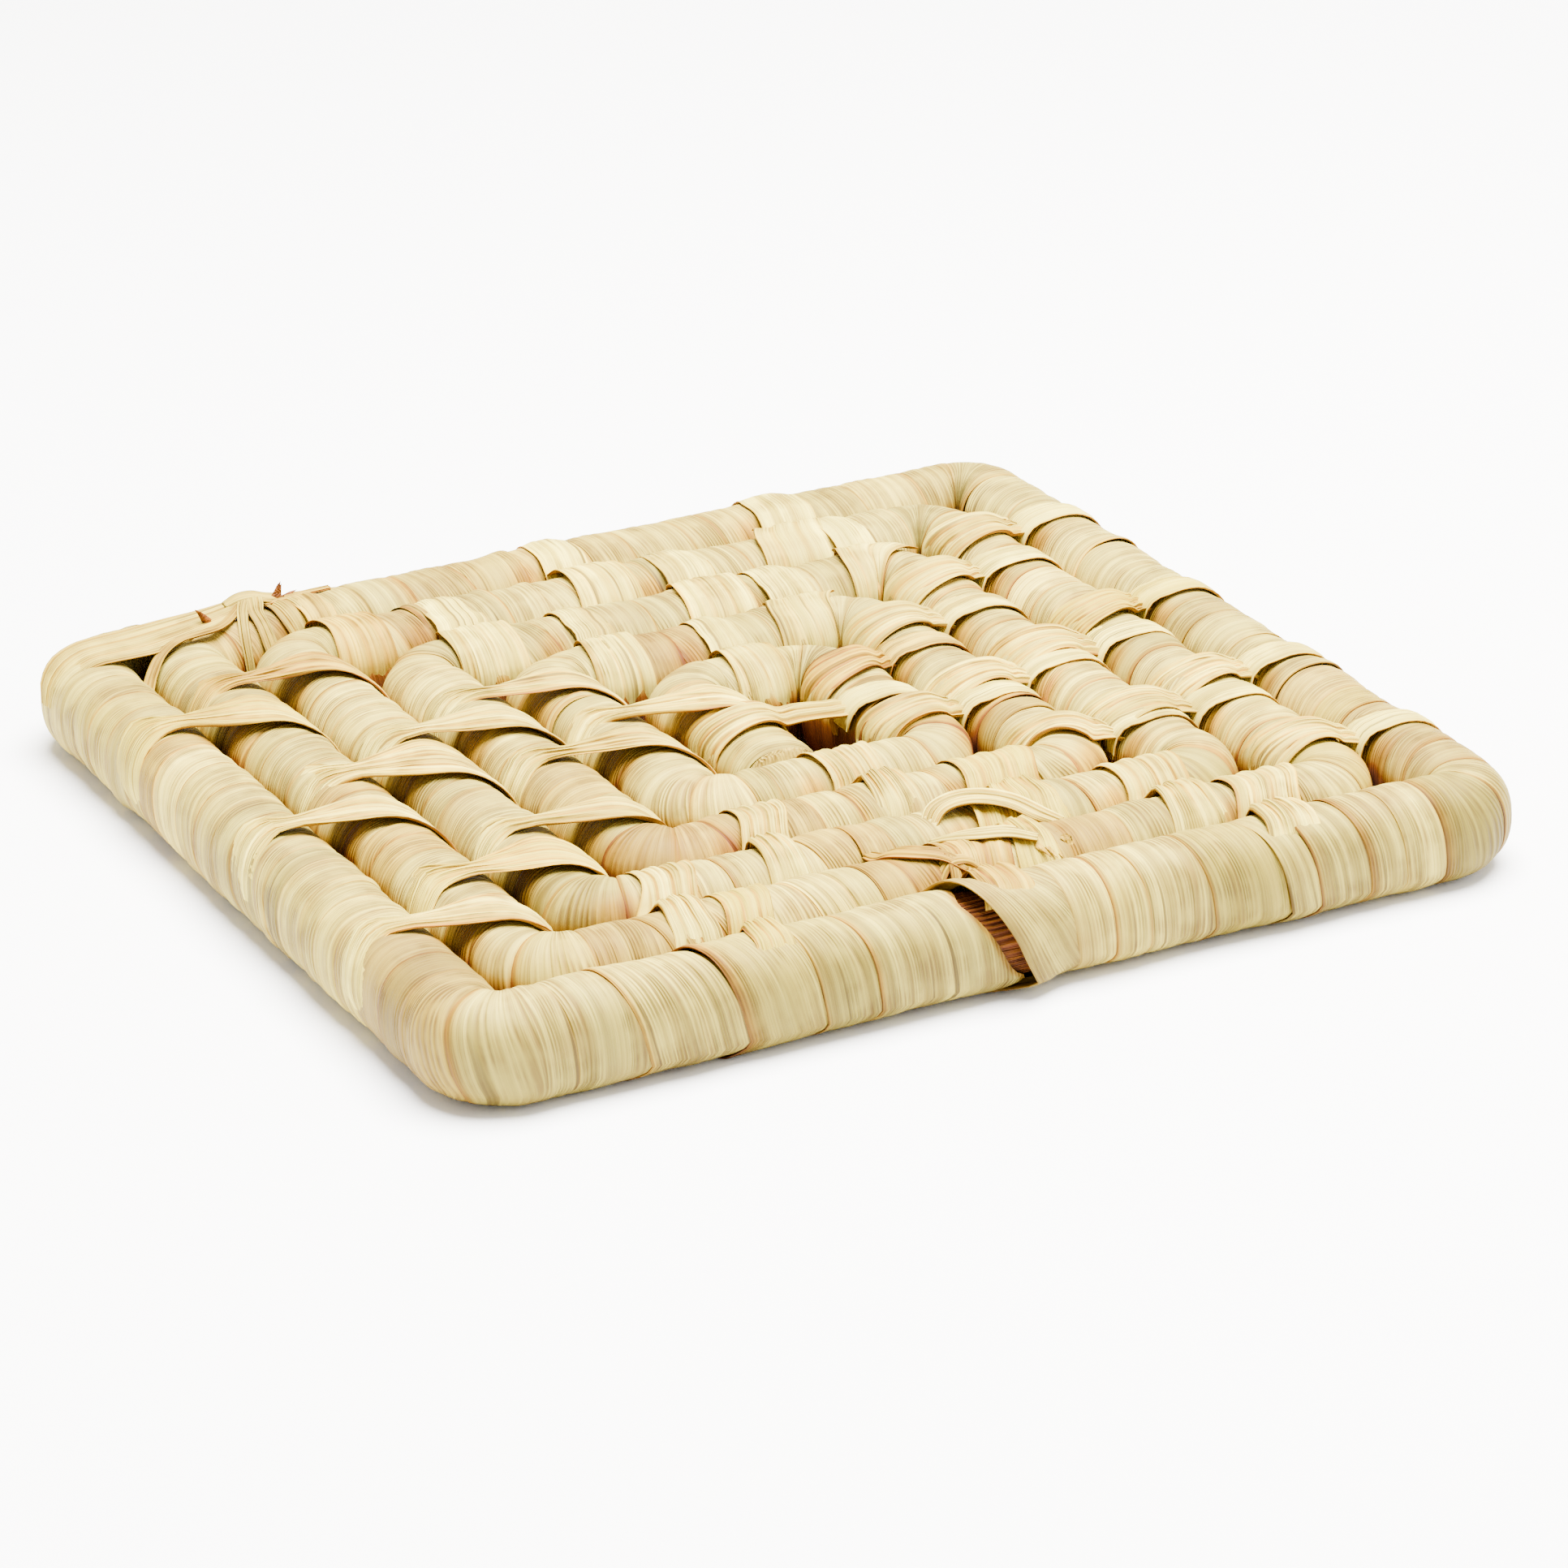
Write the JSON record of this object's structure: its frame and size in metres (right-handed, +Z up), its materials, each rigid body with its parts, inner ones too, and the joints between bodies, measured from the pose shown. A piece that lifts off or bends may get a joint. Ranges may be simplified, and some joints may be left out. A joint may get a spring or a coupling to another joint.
{
  "type": "trivet mat",
  "caption": "Square table trivet: one husk-wrapped cord wound flat as a square spiral, with its runs bound together by gathered husk ties.",
  "frame": {"origin": "under the middle of the mat's outline, on the surface it rests on", "axes": "+Z up out of the mat's top side; -Y towards the front edge; +X to the right along it"},
  "size_m": [0.2, 0.2, 0.0225],
  "materials": {
    "wrapped_husk": "satin, dried husk wrapped over a fibre core",
    "tie_husk": "satin, dried husk strips",
    "end_husk": "satin, dried husk strips, a little darker"
  },
  "bodies": {
    "root": {"coil": "wrapped_husk", "tie_back_1_1": "tie_husk", "tie_back_1_2": "tie_husk", "tie_back_1_3": "tie_husk", "tie_back_2_1": "tie_husk", "tie_back_2_2": "tie_husk", "tie_back_2_3": "tie_husk", "tie_back_3_1": "tie_husk", "tie_back_3_2": "tie_husk", "tie_back_4_1": "tie_husk", "tie_front_1_1": "tie_husk", "tie_front_1_2": "tie_husk", "tie_front_1_3": "tie_husk", "tie_front_2_1": "tie_husk", "tie_front_2_2": "tie_husk", "tie_front_2_3": "tie_husk", "tie_front_3_1": "tie_husk", "tie_front_3_2": "tie_husk", "tie_front_4_1": "tie_husk", "tie_left_1_1": "tie_husk", "tie_left_1_2": "tie_husk", "tie_left_1_3": "tie_husk", "tie_left_2_1": "tie_husk", "tie_left_2_2": "tie_husk", "tie_left_2_3": "tie_husk", "tie_left_3_1": "tie_husk", "tie_left_3_2": "tie_husk", "tie_left_4_1": "tie_husk", "tie_left_4_2": "tie_husk", "tie_left_5_1": "tie_husk", "tie_right_1_1": "tie_husk", "tie_right_1_2": "tie_husk", "tie_right_1_3": "tie_husk", "tie_right_1_4": "tie_husk", "tie_right_2_1": "tie_husk", "tie_right_2_2": "tie_husk", "tie_right_2_3": "tie_husk", "tie_right_3_1": "tie_husk", "tie_right_3_2": "tie_husk", "tie_right_3_3": "tie_husk", "tie_right_4_1": "tie_husk", "tie_right_4_2": "tie_husk", "tie_right_5_1": "tie_husk", "end_knot": "end_husk", "end_strap": "end_husk"}
  },
  "joints": []
}
